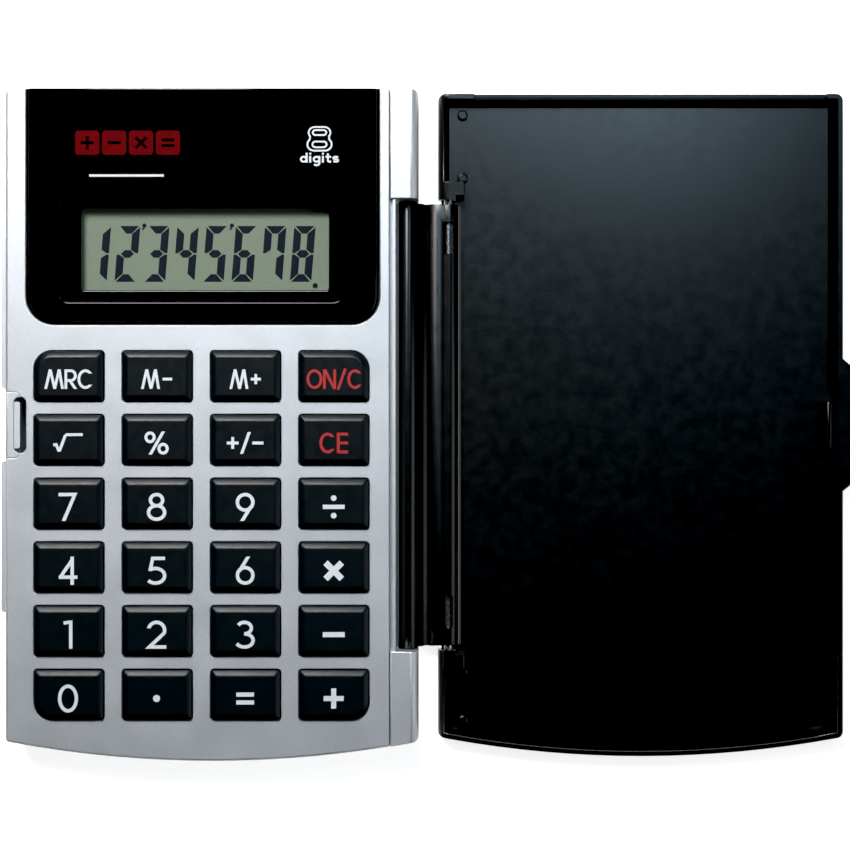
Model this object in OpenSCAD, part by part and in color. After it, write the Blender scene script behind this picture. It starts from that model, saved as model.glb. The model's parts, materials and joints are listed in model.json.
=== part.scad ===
// Pocket calculator with a double-hinged flip cover, lying open and flat.
// Millimetres. X to the right, Y towards the display end, Z up out of the keys.
// The origin is the middle of the case's flat back. The cover lies open on the right.

/* [Case] */
// Width of the case, without its side grips
body_w = 70; // [68:1:80]
// Length of the case, from the top edge to the lowest point of the curved end
body_l = 114; // [113:1:118]
// Thickness of the case
body_t = 10; // [10:0.1:11]
// Radius of the curved bottom end
end_r = 186; // [150:1:400]
// Thickness of the case's side walls
wall = 1.4; // [1.2:0.1:1.5]
// Thickness of the case's back
back_t = 1.3; // [1.2:0.05:1.4]

/* [Hinge] */
// Distance of the spine's pivot from the middle of the case
pivot_x = 33.2; // [33:0.1:33.4]
// Radius of the spine's two barrels
barrel_r = 1.75; // [1.6:0.05:1.75]
// Length of the spine between the case's ears
spine_l = 76; // [70:0.5:76]
// Radius of the spine's trunnions
trunnion_r = 1.1; // [0.9:0.05:1.1]
// Radius of the pins that the cover turns on
pin_r = 0.75; // [0.6:0.05:0.8]
// Radial clearance of the trunnions and the pins in their bores
run_gap = 0.06; // [0.02:0.01:0.1]
// Gap that is left between the closed cover and the case
close_gap = 0.15; // [0.1:0.05:0.3]
// Clearance between the spine and the walls beside it
spine_clear = 0.05; // [0.04:0.01:0.1]

/* [Cover] */
// Width of the cover without its finger tab
cover_w = 69.7; // [68:0.1:70]
// Height of the cover's rim
cover_t = 4.6; // [4.4:0.1:4.8]
// Thickness of the cover's flat panel
cover_floor = 1.2; // [1:0.1:1.4]

/* [Keys] */
// Width of a key's hole
key_w = 12.05; // [11.5:0.05:12.2]
// Length of a key's hole
key_l = 8.8; // [8.4:0.05:8.9]
// Distance between key columns
pitch_x = 14.96; // [14.9:0.01:15]
// Distance between key rows
pitch_y = 10.79; // [10.7:0.01:10.8]
// How far the key tops stand above the case
key_proud = 1; // [0.8:0.1:1.2]
// Gap between a key and its hole, on each side
key_gap = 0.2; // [0.15:0.05:0.3]
// Travel of a key
key_travel = 0.8; // [0.5:0.1:0.8]

/* [Display] */
// Width of the window in the display panel
window_w = 41.9; // [38:0.1:42]
// Height of the window in the display panel
window_h = 13.9; // [13:0.1:14]
// How far the display panel stands above the case
panel_proud = 0.5; // [0.3:0.1:0.5]

/* [Hidden] */
$fn = 48;
arc_fn = 256; // sides of the curved end where it is drawn as a mesh
eps = 0.01; // overhang of a cut past the face that it opens
big = 300; // larger than the whole part

// Case: heights of the layers
bezel_plate = 1.7;
plate_z = body_t - bezel_plate; // underside of the front plate
parting_z = body_t / 2; // where the two shells meet
seam = 0.1;
lip_t = 0.6;
lip_h = 1;

// Case: right-hand side with the hinge
body_x0 = -body_w / 2;
body_x1 = body_w / 2;
body_y1 = body_l / 2;
bezel_x1 = body_x1 - 5; // right edge of the front shell
ear_seam = 0.2; // gap between the front shell and the ears
lip_x0 = body_x1 - 4.4; // lip along the hinge gap
ear_r = 1.4;
outer_r = 1.2; // rounding of the outer corners in plan
left_r = 0.9; // and of the case's left corners
gap_x0 = lip_x0 + 0.45; // left side of the hinge gap
side_x0 = bezel_x1 - 0.4; // inner face of the wall along the hinge gap
ear_y = spine_l / 2 + 0.4; // the ears' inner ends
side_top = plate_z - seam;
side_lip_top = body_t - 0.4;

// Hinge: the spine is a link between two parallel axes
pivot_z = body_t / 2;
cover_axis_z = cover_t / 2; // height of the cover's axis when it lies open
link_l = body_t / 2 + cover_t / 2 + close_gap;
link_drop = pivot_z - cover_axis_z;
link_dx = sqrt(link_l * link_l - link_drop * link_drop);
link_tilt = asin(link_drop / link_l);
cover_axis_x = pivot_x + link_dx;
trunnion_l = 2.4;
trunnion_bore_l = 2.6;
barrel_end = 0.3; // how far the barrel at the case reaches past the link
pin_window_y0 = 29.5; // windows in the spine that show the pins
pin_window_y1 = 35;
pin_window_u = 6; // from the pivot, along the link
pin_window_w = 1.6;
groove_r = 0.45; // fine groove along the spine
land_u = 6.2; // where the raised land over the cover's barrel ends
land_h = 1.3;
step_u = 3.8; // where the flat beside it ends
step_h = 1;

// Cover
cover_edge_r = 1.84; // rounding of the cover's hinge edge
cover_x0 = cover_axis_x - cover_edge_r;
cover_x1 = cover_x0 + cover_w;
rim_top = 1; // width of the rim's top
rim_slope = 1; // how far the rim's inner side slopes out to the panel
notch_x0 = cover_axis_x + barrel_r + spine_clear; // right side of the notch at the cover's outer face
notch_x1 = cover_axis_x + 2.75; // and at its panel
notch_y = spine_l / 2 + 1.6;
knuckle_x1 = cover_axis_x + 1.2;
knuckle_y0 = spine_l / 2 + 0.8;
knuckle_y1 = notch_y + 2.4;
skin_t = 0.45; // outer skin of the cover that closes the notch's ends
skin_y0 = spine_l / 2 + 0.15;
pin_in_spine = 8.6;
panel_clear = 0.3;
rim_step = 0.8; // how much lower the rim is where it passes the display panel
hook_w = 8;
hook_t = 0.75;
hook_relief = 2.1;
hook_depth = 1.3; // how deep the hook reaches into the case's latch slot
hook_z1 = cover_t + close_gap + hook_depth;
tab_z0 = 1.6;
tab_out = 1.6;
tab_y = 11.4;
dot_r = 0.9;

// Latch slot in the front shell, and the bar that the hook snaps past
slot_x0 = -33.6;
slot_x1 = -31.5;
slot_y = 4.75;
latch_bar_x1 = -32.6;
latch_bar_drop = 0.3;
latch_seam_y = 5.67; // fine seam around the springy strip beside the slot
latch_seam_w = 0.12;
latch_seam_d = 0.15;

// Side grips
grip_out = 1.8;
grip_y0 = 6.2;
grip_y1 = 32.2;
grip_z0 = 1.2;
grip_z1 = 4.6;

// Keys
key_x0 = -24.22; // middle of the first column
key_y0 = 8.25; // middle of the first row
key_rows = 6;
key_cols = 4;
flange_out = 0.45;
flange_z1 = plate_z - 0.1;
key_top = body_t + key_proud;
key_edge = 0.9; // width of the sloping edge around a key's top
key_edge_drop = 0.35;
corner_small = 0.7;
corner_large = 3.2; // the four keys at the corners of the keypad have one large corner

// Display panel, measured from its middle
panel_x0 = -31.5;
panel_x1 = 28.4;
panel_y0 = 17;
panel_r = 4.8;
panel_z0 = body_t - 0.9;
panel_z1 = body_t + panel_proud;
panel_inset = 0.5; // width of the step around the panel's top
panel_lip_t = 0.8; // the panel's lip over the case's top edge
panel_lip_z0 = 7;
panel_gap = 0.1;
window_x = -1.15;
window_y = 29.75;
recess_x0 = -25.7;
recess_x1 = 22;
recess_y0 = 20.8;
recess_y1 = 39.1;
recess_d = 0.35;
pane_out = 1.9; // how far the clear pane reaches past the window
pane_t = 0.7;

// LCD
board_z0 = 5.2;
board_z1 = 6.2;
lcd_x0 = -24.6;
lcd_x1 = 22.3;
lcd_y0 = 20.2;
lcd_y1 = 38.9;
lcd_ledge = 2.4; // strip of the front glass that carries the contacts
lcd_glass_t = 0.7;
film_t = 0.15;
film_in = 1;
zebra_t = 0.95;
lcd_front_z = board_z1 + zebra_t;
lcd_rear_z = lcd_front_z - lcd_glass_t;
lcd_rib = 0.7;
lcd_gap = 0.1;

// Circuit board and membrane
board_x0 = -31.5;
board_x1 = 28;
board_y0 = -50.6;
board_y1 = 39.3;
sheet_t = 0.35;
sheet_z1 = board_z1 + sheet_t;
sheet_y1 = 13.6;
dome_r = 3.2;
dome_top_r = 2.1;
dome_t = 0.3;
flange_z0 = sheet_z1 + key_travel + 0.1; // underside of the keys' flanges
dome_top = flange_z0 - 0.02;

// Screws that hold the board to the front shell
board_posts = [for (c = [0.5, 2.5], r = [0.5, 2.5, 4.5]) [key_x0 + c * pitch_x, key_y0 - r * pitch_y]];
board_post_r = 0.85;
board_screw_r = 0.45;
board_head_r = 1.1;
board_head_h = 0.6;

// Screws that hold the two shells together
case_posts = [[-29.5, 52], [25.5, 52], [-30.5, 16], [26, 16], [-1.8, -52.4]];
case_post_r = 1.8;
case_boss_r = 2.2;
case_boss_z1 = 2.6;
case_screw_r = 0.78;
case_head_r = 1.6;
case_head_h = 1;
case_sink_r = 1.75;
case_sink_h = 1.27;
case_screw_top = 7.2;
screw_gap = 0.02;

// Battery
cell_x = -1;
cell_y = 47.2;
cell_r = 5.8;
cell_h = 3.05;
cell_z0 = back_t;
well_r = 6.05;
well_x0 = -12.6;
well_x1 = 10.6;
well_y0 = 39.6;
well_z1 = 5.6;
door_x0 = -11;
door_x1 = 9;
door_y0 = 38.5;
door_t = 1.2;
door_gap = 0.1;
rail_out = 0.7;
rail_z0 = 0.45;
rail_z1 = 0.95;
contact_t = 0.2;
contact_tail_y = 37; // where the contacts' tails reach up to the board
contact_tail_w = 1;
positive_w = 3;
positive_z0 = 1.6;
positive_z1 = 4;
negative_x = cell_x + 3.5; // middle of the contact above the cell
negative_w = 3;
negative_y0 = 42.5;
negative_y1 = 49.8;
contact_play = 0.2; // room beside the contacts in their slots

CASE_NODES = [
  "rear_case", "front_bezel", "display_panel", "display_window",
  "lcd_front_polariser", "lcd_front_glass", "lcd_rear_glass", "lcd_reflector",
  "zebra_connector", "circuit_board", "chip_blob", "board_components", "board_screws",
  "keypad_membrane", "button_cell", "battery_contact_positive", "battery_contact_negative",
  "battery_door", "case_screws", "hinge_spine", "cover_hinge_pins", "flip_cover"
];
KEY_NAMES = [
  ["key_mrc", "key_m_minus", "key_m_plus", "key_on_c"],
  ["key_sqrt", "key_percent", "key_sign", "key_ce"],
  ["key_7", "key_8", "key_9", "key_divide"],
  ["key_4", "key_5", "key_6", "key_multiply"],
  ["key_1", "key_2", "key_3", "key_minus"],
  ["key_0", "key_point", "key_equals", "key_plus"]
];

// ---------- shapes that several parts share ----------

// What a round corner of radius r takes away at (x, y); sx and sy point into the shape
module corner_cut(x, y, sx, sy, r) {
  if (r > 0)
    difference() {
      translate([x + sx * (r - eps) / 2, y + sy * (r - eps) / 2])
        square(r + eps, center = true);
      translate([x + sx * r, y + sy * r])
        circle(r);
    }
}

// Rectangle whose corners have radii r, from the bottom left and on anticlockwise
module rounded_rect(x0, y0, x1, y1, r) {
  difference() {
    translate([x0, y0])
      square([x1 - x0, y1 - y0]);
    corner_cut(x0, y0, 1, 1, r[0]);
    corner_cut(x1, y0, -1, 1, r[1]);
    corner_cut(x1, y1, -1, -1, r[2]);
    corner_cut(x0, y1, 1, -1, r[3]);
  }
}

// What a round corner of radius r takes away where a side at x meets the curved end, whose middle
// is half away; sx points into the shape
module end_corner_cut(x, sx, r, half) {
  y = end_r - body_l / 2 - sqrt(pow(end_r - r, 2) - pow(half - r, 2));
  w = half - (half - r) * end_r / (end_r - r); // from the side to where the round meets the end
  difference() {
    translate([x + sx * (w - 1) / 2, y - r])
      square([w + 1, 2 * r], center = true);
    translate([x + sx * r, y])
      circle(r);
  }
}

// The case's plan between x0 and x1, its top edge and curved end moved in by inset
module case_plan(x0, x1, inset = 0) {
  intersection() {
    translate([x0, -body_l])
      square([x1 - x0, body_l + body_y1 - inset]);
    translate([0, end_r - body_l / 2])
      circle(end_r - inset, $fn = arc_fn);
  }
}

// A box from one corner to the opposite one
module box(low, high) {
  translate(low)
    cube(high - low);
}

// Extrudes an XZ profile along Y, from y0 to y1
module along_y(y0, y1) {
  translate([0, y1, 0])
    rotate([90, 0, 0])
      linear_extrude(y1 - y0)
        children();
}

// Extrudes a YZ profile along X, from x0 to x1
module along_x(x0, x1) {
  translate([x0, 0, 0])
    rotate([90, 0, 90])
      linear_extrude(x1 - x0)
        children();
}

// A round bar along Y, centred on (x, z)
module bar_y(x, z, r, y0, y1) {
  translate([x, y1, z])
    rotate([90, 0, 0])
      cylinder(h = y1 - y0, r = r);
}

module post(at, r, z0, z1) {
  translate([at[0], at[1], z0])
    cylinder(h = z1 - z0, r = r);
}

module at_both_ends() {
  children();
  mirror([0, 1, 0])
    children();
}

// ---------- case ----------

module ear(y0, y1) {
  intersection() {
    linear_extrude(body_t)
      difference() {
        case_plan(bezel_x1 + ear_seam, body_x1);
        corner_cut(body_x1, body_y1, -1, -1, outer_r);
        end_corner_cut(body_x1, -1, outer_r, body_x1);
      }
    along_y(y0, y1)
      rounded_rect(bezel_x1 + ear_seam, 0, body_x1, body_t, [0, ear_r, ear_r, 0]);
  }
}

// What the case's two rounded left corners take away
module left_corners_cut() {
  linear_extrude(big) {
    corner_cut(body_x0, body_y1, 1, -1, left_r);
    end_corner_cut(body_x0, 1, left_r, body_x1);
  }
}

module rear_tray() {
  difference() {
    union() {
      linear_extrude(parting_z)
        case_plan(body_x0, lip_x0);
      linear_extrude(parting_z + lip_h)
        case_plan(body_x0 + wall + seam / 2, side_x0, wall + seam / 2);
      intersection() {
        linear_extrude(side_top)
          case_plan(side_x0, gap_x0);
        box([side_x0, -big, 0], [lip_x0, big, big]);
      }
      box([lip_x0, -ear_y, 0], [gap_x0, ear_y, side_lip_top]);
      box([lip_x0, -ear_y, 0], [pivot_x - barrel_r - spine_clear, ear_y, back_t]);
    }
    translate([0, 0, back_t])
      linear_extrude(big)
        case_plan(body_x0 + wall + lip_t, side_x0, wall + lip_t);
  }
}

module grip() {
  translate([0, 0, grip_z0])
    linear_extrude(grip_z1 - grip_z0)
      rounded_rect(body_x0 - grip_out, grip_y0, body_x0 + wall, grip_y1, [0.5, 0, 0, 0.5]);
}

// Block around the button cell, open at the back
module battery_well() {
  box([well_x0, well_y0, 0], [well_x1, body_y1 - wall, well_z1]);
}

module battery_door_space() {
  box([door_x0 - door_gap, door_y0 - door_gap, -1], [door_x1 + door_gap, big, cell_z0]);
  box([door_x0 - rail_out - door_gap, door_y0 + 1, rail_z0 - door_gap / 2],
      [door_x1 + rail_out + door_gap, big, rail_z1 + door_gap / 2]);
}

module battery_space() {
  post([cell_x, cell_y], well_r, 0, cell_z0 + cell_h + 0.05);
  // slot for the positive contact, at the rim of the cell
  box([cell_x - positive_w / 2 - contact_play, well_y0 - 1, back_t],
      [cell_x + positive_w / 2 + contact_play, cell_y - cell_r + contact_play, positive_z1 + contact_play]);
  // slot for the negative contact, above the cell
  box([negative_x - negative_w / 2 - contact_play, well_y0 - 1, cell_z0 + cell_h - 0.05],
      [negative_x + negative_w / 2 + contact_play, negative_y1 + contact_play, cell_z0 + cell_h + 0.45]);
}

module rear_case() {
  color("silver")
    difference() {
      union() {
        rear_tray();
        ear(ear_y, body_l);
        ear(-body_l, -ear_y);
        at_both_ends()
          grip();
        battery_well();
        for (p = case_posts)
          post(p, case_boss_r, 0.5, case_boss_z1);
      }
      left_corners_cut();
      battery_door_space();
      battery_space();
      for (p = case_posts) {
        post(p, case_sink_r, -1, case_sink_h);
        post(p, case_screw_r + 0.15, 0, big);
      }
      at_both_ends()
        bar_y(pivot_x, pivot_z, trunnion_r + run_gap, ear_y - 1, ear_y + trunnion_bore_l);
    }
}

function key_xy(col, row) = [key_x0 + col * pitch_x, key_y0 - row * pitch_y];

// Corner radii of the key in a column and row
function key_radii(col, row) = [
  col == 0 && row == key_rows - 1 ? corner_large : corner_small,
  col == key_cols - 1 && row == key_rows - 1 ? corner_large : corner_small,
  col == key_cols - 1 && row == 0 ? corner_large : corner_small,
  col == 0 && row == 0 ? corner_large : corner_small
];

// Plan of a key's hole, made larger by grow all round
module key_plan(col, row, grow) {
  w = key_w / 2 + grow;
  l = key_l / 2 + grow;
  translate(key_xy(col, row))
    rounded_rect(-w, -l, w, l, [for (r = key_radii(col, row)) r + grow]);
}

module panel_plan(grow) {
  r = panel_r + grow;
  rounded_rect(panel_x0 - grow, panel_y0 - grow, panel_x1 + grow, body_y1, [r, r, 0, 0]);
}

// Ribs that hold the LCD glass sideways
module lcd_ribs() {
  x0 = lcd_x0 - lcd_gap;
  x1 = lcd_x1 + lcd_gap;
  y0 = lcd_y0 - lcd_gap;
  y1 = lcd_y1 + lcd_gap;
  difference() {
    box([x0 - lcd_rib, y0 - lcd_rib, lcd_rear_z], [x1 + lcd_rib, y1 + lcd_rib, plate_z]);
    box([x0, y0, 0], [x1, y1, big]);
  }
}

module latch_bar() {
  translate([0, 0, plate_z - 1])
    linear_extrude(bezel_plate + 1 - latch_bar_drop)
      rounded_rect(slot_x0 - 1, -slot_y + 0.8, latch_bar_x1, slot_y - 0.8, [0, 0.4, 0.4, 0]);
}

module latch_seam() {
  x1 = latch_bar_x1;
  w = latch_seam_w;
  translate([0, 0, body_t - latch_seam_d])
    linear_extrude(1)
      difference() {
        rounded_rect(body_x0 - 1, -latch_seam_y, x1, latch_seam_y, [0, 0.8, 0.8, 0]);
        rounded_rect(body_x0 - 2, w - latch_seam_y, x1 - w, latch_seam_y - w, [0, 0.7, 0.7, 0]);
      }
}

module front_bezel() {
  color("gainsboro")
    difference() {
      union() {
        difference() {
          translate([0, 0, parting_z + seam])
            linear_extrude(body_t - parting_z - seam)
              case_plan(body_x0, bezel_x1);
          linear_extrude(plate_z)
            case_plan(body_x0 + wall, big, wall);
          // the end walls stop at the rear case's wall along the hinge gap
          box([side_x0 - seam / 2, -big, 0], [big, big, plate_z]);
          translate([0, 0, plate_z - 1])
            linear_extrude(big)
              rounded_rect(slot_x0, -slot_y, slot_x1, slot_y, [1, 1, 1, 1]);
        }
        latch_bar();
        lcd_ribs();
        for (p = case_posts)
          post(p, case_post_r, case_boss_z1 + seam, plate_z + 0.5);
        for (p = board_posts)
          post(p, board_post_r, board_z1, plate_z + 0.5);
      }
      for (row = [0 : key_rows - 1], col = [0 : key_cols - 1])
        translate([0, 0, plate_z - 1])
          linear_extrude(big)
            key_plan(col, row, 0);
      left_corners_cut();
      latch_seam();
      // pocket for the display panel, and the opening for its pane
      translate([0, 0, panel_z0])
        linear_extrude(big)
          panel_plan(panel_gap);
      box([panel_x0, body_y1 - panel_lip_t - panel_gap, panel_lip_z0 - panel_gap], [panel_x1, big, big]);
      box([window_x - window_w / 2 - pane_out - 0.1, window_y - window_h / 2 - pane_out - 0.1, plate_z - 1],
          [window_x + window_w / 2 + pane_out + 0.1, window_y + window_h / 2 + pane_out + 0.1, big]);
      for (p = case_posts)
        post(p, case_screw_r + screw_gap, 0, case_screw_top + 0.1);
      for (p = board_posts)
        post(p, board_screw_r + screw_gap, 0, plate_z - 0.2);
    }
}

// ---------- display ----------

module window_plan(grow, r) {
  w = window_w / 2 + grow;
  h = window_h / 2 + grow;
  translate([window_x, window_y])
    rounded_rect(-w, -h, w, h, [r, r, r, r]);
}

module display_panel() {
  color([0.03, 0.03, 0.035])
    difference() {
      union() {
        translate([0, 0, panel_z0])
          linear_extrude(body_t - panel_z0)
            panel_plan(0);
        translate([0, 0, panel_z0])
          linear_extrude(panel_z1 - panel_z0)
            panel_plan(-panel_inset);
        box([panel_x0 + 0.1, body_y1 - panel_lip_t, panel_lip_z0], [panel_x1 - 0.1, body_y1, panel_z0]);
      }
      linear_extrude(big)
        window_plan(0, 0.5);
      translate([0, 0, panel_z1 - recess_d])
        linear_extrude(big)
          rounded_rect(recess_x0, recess_y0, recess_x1, recess_y1, [1.5, 1.5, 1.5, 1.5]);
    }
}

module display_window() {
  color([0.8, 0.85, 0.85, 0.3])
    translate([0, 0, panel_z0 - pane_t])
      linear_extrude(pane_t)
        window_plan(pane_out, 0.3);
}

module lcd_layer(y0, z0, t, inset) {
  box([lcd_x0 + inset, y0 + inset, z0], [lcd_x1 - inset, lcd_y1 - inset, z0 + t]);
}

module lcd_front_polariser() {
  color([0.62, 0.65, 0.58])
    lcd_layer(lcd_y0 + lcd_ledge - film_in, lcd_front_z + lcd_glass_t, film_t, film_in);
}

module lcd_front_glass() {
  color([0.7, 0.8, 0.78, 0.5])
    lcd_layer(lcd_y0, lcd_front_z, lcd_glass_t, 0);
}

module lcd_rear_glass() {
  color([0.65, 0.75, 0.73, 0.5])
    lcd_layer(lcd_y0 + lcd_ledge, lcd_rear_z, lcd_glass_t, 0);
}

module lcd_reflector() {
  color([0.75, 0.76, 0.74])
    lcd_layer(lcd_y0 + lcd_ledge, lcd_rear_z - film_t, film_t, film_in);
}

module zebra_connector() {
  color([0.85, 0.55, 0.6])
    box([lcd_x0 + 1, lcd_y0 + 0.2, board_z1], [lcd_x1 - 1, lcd_y0 + lcd_ledge - 0.4, lcd_front_z]);
}

// ---------- circuit board ----------

module circuit_board() {
  color("darkgreen")
    difference() {
      translate([0, 0, board_z0])
        linear_extrude(board_z1 - board_z0)
          difference() {
            rounded_rect(board_x0, board_y0, board_x1, board_y1, [2, 2, 1, 1]);
            for (p = case_posts)
              translate(p)
                circle(case_post_r + 0.3);
          }
      for (p = board_posts)
        post(p, board_screw_r + 0.15, 0, big);
    }
}

// Epoxy drop: the cap of a sphere with base radius r and height h, hanging at the board
module chip_blob() {
  r = 4.5;
  h = 1.1;
  at = [8, 27];
  ball = (r * r + h * h) / (2 * h);
  color([0.06, 0.06, 0.06])
    translate([at[0], at[1], board_z0])
      mirror([0, 0, 1])
        rotate_extrude()
          intersection() {
            translate([0, h - ball])
              circle(ball, $fn = arc_fn);
            square([r, h]);
          }
}

// A block soldered to the board's back, with one corner at (x, y)
module board_block(x, y, size) {
  box([x, y, board_z0 - size[2]], [x + size[0], y + size[1], board_z0]);
}

module board_components() {
  can_r = 1.5;
  color("saddlebrown") {
    // electrolytic capacitor, lying down
    translate([-14, 24, board_z0 - can_r])
      rotate([0, 90, 0])
        cylinder(h = 5, r = can_r);
    // three chip resistors in a row, and a chip capacitor
    for (n = [0 : 2])
      board_block(-4 + n * 3.5, 16, [1.6, 0.8, 0.6]);
    board_block(-10, 31, [3.2, 1.6, 1]);
  }
}

// Cross-shaped recess of a screw head
module cross_recess(size, depth) {
  for (a = [0, 90])
    rotate(a)
      translate([-size, -size / 4, -1])
        cube([2 * size, size / 2, depth + 1]);
}

module screw(at, z0, head_r, head_h, shank_r, z1, slot) {
  translate([at[0], at[1], z0])
    difference() {
      union() {
        cylinder(h = head_h, r = head_r);
        cylinder(h = z1 - z0, r = shank_r);
      }
      cross_recess(slot, head_h / 2);
    }
}

module board_screws() {
  color("dimgray")
    for (p = board_posts)
      screw(p, board_z0 - board_head_h, board_head_r, board_head_h, board_screw_r, plate_z - 0.5, 0.65);
}

module case_screws() {
  color("dimgray")
    for (p = case_posts)
      screw(p, case_sink_h - case_head_h - screw_gap, case_head_r, case_head_h, case_screw_r,
            case_screw_top, 0.95);
}

module dome(at) {
  translate([at[0], at[1], sheet_z1 - eps])
    difference() {
      cylinder(h = dome_top - sheet_z1 + eps, r1 = dome_r, r2 = dome_top_r);
      translate([0, 0, -1])
        cylinder(h = dome_top - sheet_z1 + 1 - dome_t, r1 = dome_r + 0.9, r2 = dome_top_r - 0.3);
    }
}

module keypad_membrane() {
  color([0.75, 0.75, 0.72]) {
    difference() {
      translate([0, 0, board_z1])
        linear_extrude(sheet_t)
          rounded_rect(board_x0 + 0.5, board_y0 + 0.5, board_x1 - 0.5, sheet_y1, [2, 2, 1, 1]);
      for (p = board_posts)
        post(p, board_post_r + 0.25, 0, big);
      for (row = [0 : key_rows - 1], col = [0 : key_cols - 1])
        post(key_xy(col, row), dome_r - 0.5, 0, big);
    }
    for (row = [0 : key_rows - 1], col = [0 : key_cols - 1])
      dome(key_xy(col, row));
  }
}

// ---------- keys ----------

// Profile across a key: upright sides, a sloping edge and a flat top
module key_profile(half) {
  polygon([
    [-half, 0], [half, 0], [half, key_top - key_edge_drop], [half - key_edge, key_top],
    [key_edge - half, key_top], [-half, key_top - key_edge_drop]
  ]);
}

module key_cap(col, row) {
  at = key_xy(col, row);
  color([0.05, 0.06, 0.07]) {
    intersection() {
      translate([0, 0, flange_z0])
        linear_extrude(key_top - flange_z0)
          key_plan(col, row, -key_gap);
      translate([at[0], 0, 0])
        along_y(-body_l, body_l)
          key_profile(key_w / 2 - key_gap);
      translate([0, at[1], 0])
        along_x(-body_l, body_l)
          key_profile(key_l / 2 - key_gap);
    }
    translate([0, 0, flange_z0])
      linear_extrude(flange_z1 - flange_z0)
        key_plan(col, row, flange_out);
  }
}

// ---------- battery ----------

module button_cell() {
  color("silver")
    translate([cell_x, cell_y, cell_z0]) {
      cylinder(h = cell_h - 0.35, r = cell_r);
      cylinder(h = cell_h, r = cell_r - 1.1);
    }
}

// Narrow strip of a contact: level at height z from y1 to the board's end, then up to the board
module contact_tail(x, y1, z) {
  x0 = x - contact_tail_w / 2;
  x1 = x + contact_tail_w / 2;
  box([x0, contact_tail_y, z], [x1, y1, z + contact_t]);
  box([x0, contact_tail_y, z], [x1, contact_tail_y + contact_t, board_z0]);
}

module battery_contact_positive() {
  y1 = cell_y - cell_r;
  color("goldenrod") {
    box([cell_x - positive_w / 2, y1 - contact_t, positive_z0], [cell_x + positive_w / 2, y1, positive_z1]);
    contact_tail(cell_x, y1, positive_z1 - contact_t);
  }
}

module battery_contact_negative() {
  z0 = cell_z0 + cell_h + 0.1;
  color("goldenrod") {
    box([negative_x - negative_w / 2, negative_y0, z0],
        [negative_x + negative_w / 2, negative_y1, z0 + contact_t]);
    contact_tail(negative_x, negative_y0 + 0.5, z0);
    // dimple that touches the cell
    post([negative_x - 0.5, cell_y], 0.6, z0 - 0.1, z0 + contact_t);
  }
}

module battery_door() {
  color("gray")
    difference() {
      union() {
        box([door_x0, door_y0, 0], [door_x1, body_y1, door_t]);
        box([door_x0 - rail_out, door_y0 + 1.2, rail_z0], [door_x1 + rail_out, body_y1 - 0.1, rail_z1]);
      }
      // finger grooves
      for (n = [0 : 3])
        box([door_x0 + 5, door_y0 + 3 + n * 1.6, -1], [door_x1 - 5, door_y0 + 3.8 + n * 1.6, 0.35]);
    }
}

// ---------- hinge ----------

// Profile of the spine along its link, from the case's pivot at the origin to the cover's axis
module spine_profile() {
  difference() {
    union() {
      circle(barrel_r);
      translate([link_l, 0])
        circle(barrel_r);
      polygon([
        [0, -barrel_r], [link_l, -barrel_r], [link_l, barrel_r], [land_u, land_h], [step_u, step_h],
        [step_u - 0.2, 0.1], [2.6, 0.1], [2.4, 1.1], [1.3, 1.1], [0, 0.9]
      ]);
    }
    translate([2 * groove_r, barrel_r])
      circle(groove_r);
  }
}

module hinge_spine() {
  half = spine_l / 2;
  color([0.06, 0.07, 0.08])
    difference() {
      translate([pivot_x, 0, pivot_z]) {
        along_y(-half, half)
          rotate(-link_tilt)
            spine_profile();
        bar_y(0, 0, barrel_r, -half - barrel_end, half + barrel_end);
        bar_y(0, 0, trunnion_r, -half - trunnion_l, half + trunnion_l);
      }
      at_both_ends() {
        bar_y(cover_axis_x, cover_axis_z, pin_r + run_gap, half - pin_in_spine - 0.3, half + 1);
        // window over the pin
        translate([pivot_x, 0, pivot_z])
          along_y(pin_window_y0, pin_window_y1)
            rotate(-link_tilt)
              translate([pin_window_u, 0])
                square([pin_window_w, 2 * barrel_r]);
      }
    }
}

module cover_hinge_pins() {
  color("gray")
    at_both_ends()
      bar_y(cover_axis_x, cover_axis_z, pin_r, spine_l / 2 - pin_in_spine, knuckle_y1 - 0.2);
}

// ---------- cover ----------

// Outline of the cover across its width, rounded at the hinge edge
module cover_profile() {
  r = cover_edge_r;
  translate([cover_axis_x, r])
    circle(r);
  translate([cover_axis_x, cover_t - r])
    circle(r);
  translate([cover_x0, r])
    square([cover_w, cover_t - 2 * r]);
  translate([cover_axis_x, 0])
    square([cover_x1 - cover_axis_x, cover_t]);
}

module cover_plan(inset) {
  intersection() {
    translate([cover_x0 + inset, -body_l])
      square([cover_w - 2 * inset, body_l + body_y1 - inset]);
    translate([(cover_x0 + cover_x1) / 2, end_r - body_l / 2])
      circle(end_r - inset, $fn = arc_fn);
  }
}

// The tray's hollow: a trapezium both ways, and a cone along the curved end
module cover_hollow() {
  in_top = rim_top;
  in_low = rim_top + rim_slope;
  depth = cover_t - cover_floor;
  reach = depth * 2; // the slopes go on past the rim, so that the rim's top stays sharp
  out = in_top - rim_slope; // where they are one depth above the rim
  intersection() {
    along_y(-body_l, body_l)
      polygon([
        [cover_x0 + in_low, cover_floor], [cover_x1 - in_low, cover_floor],
        [cover_x1 - out, cover_floor + reach], [cover_x0 + out, cover_floor + reach]
      ]);
    along_x(0, 2 * body_l)
      polygon([
        [-body_l, cover_floor], [body_y1 - in_low, cover_floor],
        [body_y1 - out, cover_floor + reach], [-body_l, cover_floor + reach]
      ]);
    translate([(cover_x0 + cover_x1) / 2, end_r - body_l / 2, cover_floor])
      cylinder(h = reach, r1 = end_r - in_low, r2 = end_r - out, $fn = arc_fn);
  }
}

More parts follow.
